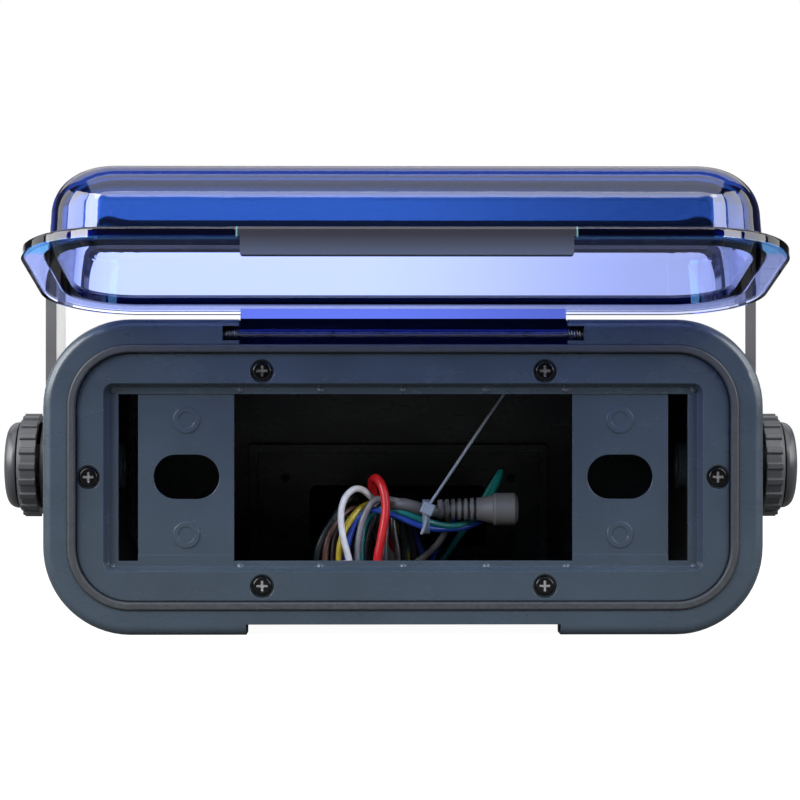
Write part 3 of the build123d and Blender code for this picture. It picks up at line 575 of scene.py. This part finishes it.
# Each wire: name, colour, diameter, length, then its own points after the lead: the back leg, the top
# of the loop, the front leg and the end that lies on the housing's floor.
WIRES = [
    ("wire_dark_green", (0.012, 0.022, 0.020), WIRE, 205, [
        (-12, 68, 13), (-17, 60, 22), (-16, 55, 34), (-15, 50, 42.5), (-19, 46, 41),
        (-23.5, 44, 34), (-27.5, 43, 28), (-29.3, 42.5, 20), (-28, 45, 11), (-24, 53, 9.3), (-19, 62, 9.4)]),
    ("wire_brown", (0.115, 0.050, 0.034), WIRE, 195, [
        (-10, 68, 15), (-14, 60, 24), (-13.5, 54, 34), (-15, 49, 39), (-20, 45.5, 36.5),
        (-24, 43.5, 31), (-25.8, 42.2, 25), (-26, 42, 18), (-24.5, 45, 10.5), (-20, 53, 9.3),
        (-15, 62, 9.4)]),
    ("wire_dark_brown", (0.030, 0.017, 0.015), WIRE, 190, [
        (-9, 69, 13), (-11, 61, 21), (-11.5, 56, 32), (-14, 51.5, 37), (-18.5, 47, 36),
        (-22.3, 44.6, 31), (-23.4, 43.6, 25), (-23.2, 43, 18), (-21.5, 46, 10.5), (-16, 54, 9.3),
        (-11, 63, 9.4)]),
    ("wire_yellow", (0.78, 0.60, 0.045), WIRE, 195, [
        (-8, 68, 16), (-8, 60, 25), (-7.5, 54, 35), (-9.5, 49, 40.5), (-14.5, 44.6, 38.5),
        (-19, 42, 32.5), (-21.2, 41, 26), (-21.2, 41, 18), (-19.5, 44.5, 10.5), (-14, 52, 9.3),
        (-8, 60, 9.4)]),
    ("wire_white", (0.86, 0.86, 0.85), WIRE, 210, [
        (-6, 68, 14), (-6.5, 60, 24), (-6.5, 53, 35), (-9, 46.5, 41), (-15, 40.8, 46.4),
        (-20.3, 38.6, 41.5), (-20.6, 38, 31.5), (-17.2, 38.2, 20), (-15.5, 41.5, 10.5), (-10, 49, 9.3),
        (-4, 57, 9.4)]),
    ("wire_gray", (0.21, 0.21, 0.22), WIRE, 220, [
        (-4, 68, 13), (10, 60, 22), (17, 52, 33), (13, 45.5, 38.6), (5, 42.2, 38.6),
        (-3, 42.4, 41.4), (-9.5, 43, 42), (-13.4, 42.2, 35), (-14.9, 41.4, 27), (-15.5, 41.4, 18),
        (-14, 45, 10.5), (-9, 53, 9.3), (-4, 62, 9.4)]),
    ("wire_black", (0.010, 0.010, 0.011), WIRE, 190, [
        (-3, 67, 16), (-2.5, 60, 26), (-3, 54, 36), (-5, 49.5, 41), (-8.5, 46, 38),
        (-11, 44.5, 31), (-12.4, 43.8, 24), (-12.5, 43.6, 17), (-11, 47, 10.5), (-6, 55, 9.3), (0, 63, 9.4)]),
    ("wire_red", (0.62, 0.016, 0.022), HEAVY_WIRE, 210, [
        (0, 68, 15), (-3, 60, 26), (-8, 54, 38), (-10.6, 49, 46), (-9.2, 43.6, 49.4), (-6.4, 40.2, 46),
        (-5.2, 39.2, 39), (-6.8, 38.8, 29.5), (-8.9, 39.2, 19), (-8, 43.5, 11), (-3, 52, 9.7), (3, 60, 9.8)]),
    ("wire_dark_gray", (0.030, 0.036, 0.036), WIRE, 190, [
        (1, 67, 14), (1, 60, 24), (0, 54, 35), (-1.5, 50, 40.5), (-4.5, 47, 39),
        (-5.3, 45, 32), (-5.8, 44, 25), (-5.7, 43.6, 17), (-4, 47, 10.5), (2, 55, 9.3), (8, 62, 9.4)]),
    ("wire_blue", (0.022, 0.075, 0.42), WIRE, 230, [
        (9, 76, 14), (12, 68, 24), (18, 62, 35), (24.5, 58.5, 40), (29, 55.5, 38.5),
        (27.5, 52.5, 33.5), (21, 49, 31.6), (14, 45.5, 31.3), (8, 43.8, 31.6), (-1.5, 43.2, 35.8),
        (-10.4, 44.4, 38.6), (-15.6, 43.8, 34.5), (-18.5, 42.4, 27), (-19.2, 42.4, 18),
        (-17.5, 46, 10.5), (-12, 54, 11.5), (-6, 62, 11.5)]),
    ("wire_teal", (0.012, 0.20, 0.19), WIRE, 245, [
        (12, 78, 15), (20, 74, 27), (28, 71, 39), (33, 68, 48), (35, 62.5, 51), (32, 57, 45), (27, 53, 35),
        (18, 46.5, 31.7), (9, 43.2, 33.6), (0, 42.6, 37.4), (-7.6, 44.6, 38.8), (-12.6, 44.6, 34),
        (-13.8, 43, 26.5), (-13.8, 42.8, 18), (-12, 46.5, 11.6), (-7, 54, 11.5), (-1, 61, 11.5)]),
    ("wire_black_thin", (0.013, 0.013, 0.014), WIRE, 190, [
        (4, 67, 16), (4, 60, 25), (2, 54, 35), (-1, 49, 41.5), (-3.4, 45.5, 39.5),
        (-3.0, 44.2, 32), (-1.6, 43.6, 25), (-1, 43.8, 17), (0.5, 47, 11), (6, 55, 9.4), (12, 62, 9.4)]),
]
PLUG_CABLE_POINTS = [
    (3, 72, 13), (-3, 63, 18), (-8, 54, 28), (-7.5, 46.5, 37.5), (-1, 42.5, 40.4),
    (6, 42.2, 38.4), (10.4, 44.2, 37.2), (13.5, 46, 37.7)]


def bundle_offset(number):
    """Where the numbered wire lies round the plug cable inside the lead."""
    if number < INNER_COUNT:
        angle = 2 * math.pi * number / INNER_COUNT
        radius = INNER_RING
    else:
        angle = OUTER_START + OUTER_STEP * (number - INNER_COUNT)
        radius = OUTER_RING
    return radius * math.cos(angle), radius * math.sin(angle)


def spline_through(name, points, diameter):
    """A round tube on one smooth NURBS line with these control points, in millimetres."""
    data = bpy.data.curves.new(name, "CURVE")
    data.dimensions = "3D"
    spline = data.splines.new("NURBS")
    spline.points.add(len(points) - 1)
    for point, (x, y, z) in zip(spline.points, points):
        point.co = (*placed(x, y, z), 1)
    spline.order_u = 3
    spline.use_endpoint_u = True
    data.resolution_u = 10
    data.bevel_depth = diameter / 2 * MM
    data.bevel_resolution = 5
    data.use_fill_caps = True
    piece = bpy.data.objects.new(name, data)
    bpy.context.scene.collection.objects.link(piece)
    return piece


def mesh_piece(name, vertices, faces):
    mesh = bpy.data.meshes.new(name)
    mesh.from_pydata(vertices, [], faces)
    piece = bpy.data.objects.new(name, mesh)
    bpy.context.scene.collection.objects.link(piece)
    return piece


def round_edges(piece, width, segments):
    """Rounds every edge of a mesh piece by this width in millimetres."""
    rounding = piece.modifiers.new("rounding", "BEVEL")
    rounding.width = width * MM
    rounding.segments = segments


def lathe(name, profile, start, direction, steps=48):
    """A closed ring of faces turned round a line; profile holds (along, radius) in mm."""
    turn = Vector((0, 0, 1)).rotation_difference(direction)
    vertices = []
    for along, radius in profile:
        for step in range(steps):
            angle = 2 * math.pi * step / steps
            local = Vector((radius * math.cos(angle), radius * math.sin(angle), along))
            vertices.append(start + turn @ (local * MM))
    faces = []
    rows = len(profile)
    for row in range(rows):
        after = (row + 1) % rows
        for step in range(steps):
            side = (step + 1) % steps
            here = row * steps
            there = after * steps
            faces.append((here + step, here + side, there + side, there + step))
    piece = mesh_piece(name, vertices, faces)
    piece.data.shade_smooth()
    return piece


def bare_tip(name, points, diameter, made):
    """Tinned strands showing at a stripped end, slightly tapered."""
    end = placed(*points[-1])
    direction = (end - placed(*points[-2])).normalized()
    radius = diameter * 0.32
    profile = [(-1, radius), (4.2, radius), (5.0, radius * 0.7), (5.2, 0.05), (-1, 0.05)]
    piece = lathe(name, profile, end, direction, 16)
    piece.data.materials.append(made)
    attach(piece, "housing")
    return piece


def make_wires():
    tinned = plated_metal("tinned_strands", (0.62, 0.60, 0.56), (0.3, 0.45))
    for number, (name, color, diameter, length, own_points) in enumerate(WIRES):
        dx, dz = bundle_offset(number)
        points = [(x + dx, y, z + dz) for x, y, z in LEAD_ROUTE] + own_points
        wire = spline_through(name, points, diameter)
        wire.data.materials.append(wire_insulation(name + "_insulation", color))
        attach(wire, "housing")
        tip = bare_tip(name + "_tip", points, diameter, tinned)
        if number == 0:
            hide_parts("harness_lead", "harness_hank")


def make_plug_cable(tie_pieces):
    """The cable into the plug's boot; the tie holds it to the wires. The tie_pieces argument is not used."""
    points = LEAD_ROUTE + PLUG_CABLE_POINTS
    cable = spline_through("plug_cable", points, PLUG_CABLE)
    jacket = wire_insulation("plug_cable_jacket", (0.10, 0.10, 0.105), (0.35, 0.5))
    cable.data.materials.append(jacket)
    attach(cable, "housing")


def strap(name, line, across, width, thick, closed=False):
    """A flat strip with rounded edges along a line; across is the direction of its width."""
    vertices = []
    count = len(line)
    for number, point in enumerate(line):
        ahead = line[(number + 1) % count] if closed or number + 1 < count else point
        behind = line[number - 1] if closed or number > 0 else point
        outward = (ahead - behind).cross(across).normalized()
        for side, face in ((-1, -1), (1, -1), (1, 1), (-1, 1)):
            shift = across * (side * width / 2) + outward * (face * thick / 2)
            vertices.append(point + shift * MM)
    faces = []
    for number in range(count if closed else count - 1):
        here = number * 4
        there = (number + 1) % count * 4
        for side in range(4):
            after = (side + 1) % 4
            faces.append((here + side, here + after, there + after, there + side))
    if not closed:
        last = 4 * (count - 1)
        faces.append((3, 2, 1, 0))
        faces.append((last, last + 1, last + 2, last + 3))
    piece = mesh_piece(name, vertices, faces)
    round_edges(piece, thick / 4, 2)
    return piece


def smooth_line(points, steps=6):
    """Points along a smooth curve through the given ones."""
    line = []
    for number in range(len(points) - 1):
        before = points[max(number - 1, 0)]
        start = points[number]
        end = points[number + 1]
        after = points[min(number + 2, len(points) - 1)]
        for step in range(steps):
            t = step / steps
            leave = (end - before) / 2
            arrive = (after - start) / 2
            line.append(
                start * (2 * t ** 3 - 3 * t ** 2 + 1) + leave * (t ** 3 - 2 * t ** 2 + t)
                + end * (3 * t ** 2 - 2 * t ** 3) + arrive * (t ** 3 - t ** 2))
    line.append(points[-1])
    return line


# The tie is drawn tight round the cable and its neighbours, with its head to the front.
TIE_X = 8.0
TIE_MIDDLE = (43.0, 35.6)           # y and z of the band's middle
TIE_REACH = (3.4, 5.4)              # and how far it reaches from there
TIE_WIDTH = 2.4
TIE_THICK = 0.9
TIE_TAIL = [(9.2, 38, 40.2), (15.4, 38, 49.4), (24.3, 37, 62.8), (33.9, 36, 77.0)]
TIE_STUB = [(8.2, 38, 37.2), (7.6, 38, 33.4), (6.3, 38, 30.0)]
TIE_STEPS = 36
TIE_HEAD = (4.2, 3.6, 4.0)
TIE_HEAD_PLACE = (8.4, 37.8, 38.6)
TIE_HEAD_ROUNDING = 0.35
TIE_MOUTH = (0.55, 0.4)             # the hole through the head, as parts of its width and depth
TIE_HEAD_TURN = math.radians(24)


def tie_head(made):
    """The lock: a rounded block, hollow where the tail goes through."""
    turn = Matrix.Rotation(TIE_HEAD_TURN, 3, "Y")
    centre = placed(*TIE_HEAD_PLACE)
    half = Vector(TIE_HEAD) / 2
    mouth_width, mouth_depth = TIE_MOUTH
    mouth = Vector((half.x * mouth_width, half.y * mouth_depth, half.z))
    rings = []
    for corner, z in ((half, -1), (half, 1), (mouth, 1), (mouth, -1)):
        for x, y in ((-1, -1), (1, -1), (1, 1), (-1, 1)):
            local = Vector((x * corner.x, y * corner.y, z * half.z))
            rings.append(centre + turn @ (local * MM))
    faces = []
    for ring in range(4):
        here = ring * 4
        there = (ring + 1) % 4 * 4
        for side in range(4):
            after = (side + 1) % 4
            faces.append((here + side, here + after, there + after, there + side))
    piece = mesh_piece("tie_head", rings, faces)
    round_edges(piece, TIE_HEAD_ROUNDING, 3)
    piece.data.materials.append(made)
    return piece


def tie_band_line():
    middle_y, middle_z = TIE_MIDDLE
    reach_y, reach_z = TIE_REACH
    ring = []
    for step in range(TIE_STEPS):
        angle = 2 * math.pi * step / TIE_STEPS
        y = middle_y + reach_y * math.cos(angle)
        z = middle_z + reach_z * math.sin(angle)
        ring.append(placed(TIE_X, y, z))
    return ring


def make_cable_tie():
    nylon = moulded_plastic("tie_nylon", (0.19, 0.23, 0.29), (0.3, 0.45), 0.00002)
    band = strap("tie_band", tie_band_line(), Vector((1, 0, 0)), TIE_WIDTH, TIE_THICK, closed=True)
    tail_line = smooth_line([placed(*point) for point in TIE_TAIL])
    tail = strap("tie_tail", tail_line, Vector((0, 1, 0)), TIE_WIDTH, TIE_THICK)
    stub_line = smooth_line([placed(*point) for point in TIE_STUB])
    stub = strap("tie_stub", stub_line, Vector((0, 1, 0)), TIE_WIDTH, TIE_THICK)
    for piece in (band, tail, stub):
        piece.data.materials.append(nylon)
    pieces = [band, tail, stub, tie_head(nylon)]
    for piece in pieces:
        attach(piece, "housing")
    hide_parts("cable_tie")
    return pieces


def make_harness():
    make_wires()
    gray = moulded_plastic("plug_moulding", (0.125, 0.122, 0.118), (0.4, 0.55), 0.00003)
    dress(["plug_boot", "plug_shell"], gray)
    make_plug_cable(make_cable_tie())


# ---- the scene ----

make_camera()
make_floor()
make_lights()
make_world()
bpy.context.scene.view_settings.view_transform = "Standard"
dress_cad_nodes()
make_harness()
